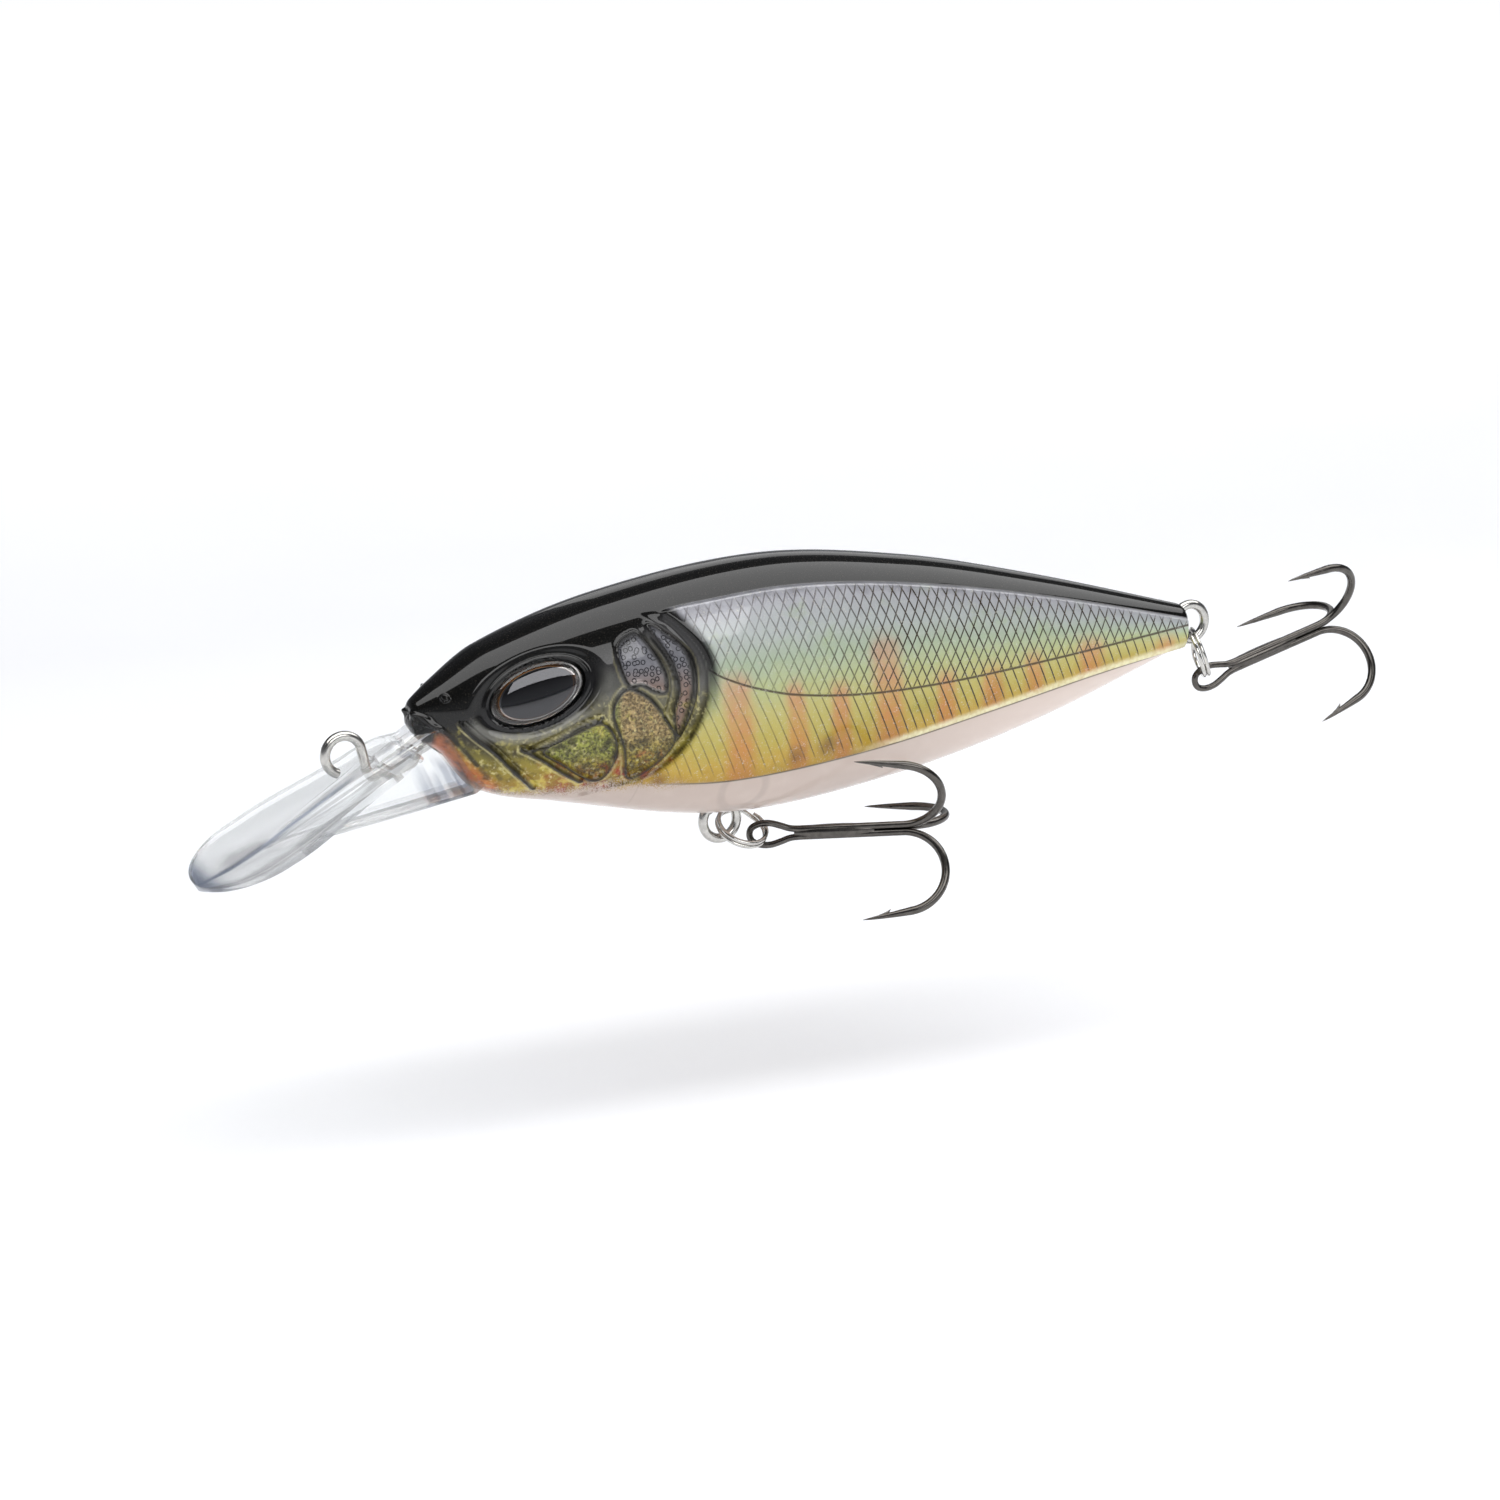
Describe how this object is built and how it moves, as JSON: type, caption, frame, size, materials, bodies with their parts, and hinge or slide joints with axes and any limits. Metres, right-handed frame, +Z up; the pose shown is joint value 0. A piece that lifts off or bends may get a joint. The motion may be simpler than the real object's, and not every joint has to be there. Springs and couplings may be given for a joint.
{
  "type": "crankbait lure",
  "caption": "Hard-bodied diving fishing lure shaped like a small fish, with a clear diving bill, a line tie, and treble hooks hung on split rings under the belly and at the tail.",
  "frame": {"origin": "centre of the line tie's wire loop", "axes": "+X from the nose to the tail, +Y to the fish's right, +Z up towards the back; the seam between the shell halves is the plane Y = 0"},
  "size_m": [0.114, 0.0193, 0.0313],
  "materials": {
    "painted_shell": "black back, silver to gold scaled flanks and a milky belly under a clear gloss coat",
    "clear_bill": "clear polished polycarbonate",
    "stainless_wire": "drawn stainless wire, polished",
    "reflector_foil": "bright embossed foil",
    "eye_iris": "black pupil on a bronze rim",
    "eye_lens": "clear domed resin",
    "weight_metal": "satin heavy metal",
    "magnet_plating": "nickel plated",
    "hook_steel": "dark nickel plated carbon steel"
  },
  "bodies": {
    "lure_body": {"shell_left": "painted_shell", "shell_right": "painted_shell", "diving_bill": "clear_bill", "line_tie_wire": "stainless_wire", "belly_hanger_wire": "stainless_wire", "tail_hanger_wire": "stainless_wire", "flank_foil_left": "reflector_foil", "flank_foil_right": "reflector_foil", "eye_iris_left": "eye_iris", "eye_iris_right": "eye_iris", "eye_lens_left": "eye_lens", "eye_lens_right": "eye_lens", "belly_ballast": "weight_metal", "holding_magnet": "magnet_plating"},
    "belly_ring": {"belly_split_ring": "stainless_wire"},
    "belly_treble": {"belly_treble_double_hook": "hook_steel", "belly_treble_single_hook": "hook_steel"},
    "tail_ring": {"tail_split_ring": "stainless_wire"},
    "tail_treble": {"tail_treble_double_hook": "hook_steel", "tail_treble_single_hook": "hook_steel"},
    "transfer_weight": {"transfer_ball_1": "weight_metal", "transfer_ball_2": "weight_metal"},
    "rattle": {"rattle_ball_1": "weight_metal", "rattle_ball_2": "weight_metal"}
  },
  "joints": [
    {"name": "belly_ring_swing", "type": "hinge", "parent": "lure_body", "child": "belly_ring", "pos_m": [0.03475, 0, -0.0096], "axis": [0, 1, 0], "range_deg": [-2, 125]},
    {"name": "belly_treble_swing", "type": "hinge", "parent": "belly_ring", "child": "belly_treble", "pos_m": [0.03675, -0.0003, -0.0104], "axis": [0.113, -0.5222, 0.8453], "range_deg": [-90, 10]},
    {"name": "tail_ring_swing", "type": "hinge", "parent": "lure_body", "child": "tail_ring", "pos_m": [0.08265, 0, 0.00345], "axis": [0, 1, 0], "range_deg": [-120, 22]},
    {"name": "tail_treble_swing", "type": "hinge", "parent": "tail_ring", "child": "tail_treble", "pos_m": [0.08435, -0.00028, -0.00157], "axis": [0.3747, 0.9271, 0], "range_deg": [-18, 70]},
    {"name": "transfer_weight_slide", "type": "slide", "parent": "lure_body", "child": "transfer_weight", "axis": [1, 0, 0], "range_m": [0, 0.0168]},
    {"name": "rattle_slide", "type": "slide", "parent": "lure_body", "child": "rattle", "axis": [0, 1, 0], "range_m": [-0.0012, 0.0012]}
  ]
}
